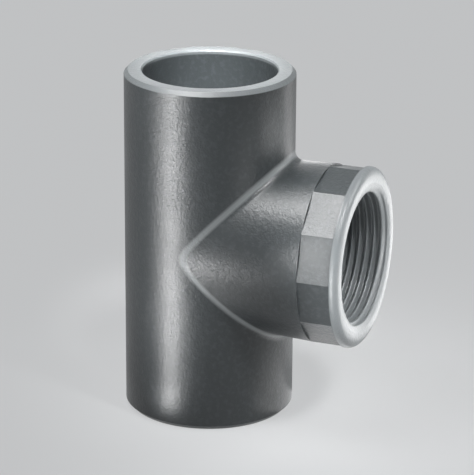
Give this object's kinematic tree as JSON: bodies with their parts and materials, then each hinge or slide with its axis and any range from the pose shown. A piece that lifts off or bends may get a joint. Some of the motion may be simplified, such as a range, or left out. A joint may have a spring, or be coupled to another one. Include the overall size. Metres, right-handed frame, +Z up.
{
  "type": "pipe tee",
  "caption": "Grey rigid PVC pipe tee: a straight run with two cement sockets for 40 mm pipe and a side branch with a 1 1/4 inch female pipe thread.",
  "frame": {"origin": "centre of the lower rim's plane, on the axis of the run", "axes": "+Z up the run, +X along the branch towards its threaded mouth"},
  "size_m": [0.0753, 0.0542, 0.105],
  "materials": {
    "grey_pvc": "moulded dark grey, satin, with a fine grain"
  },
  "bodies": {
    "root": {"tee_body": "grey_pvc"}
  },
  "joints": []
}
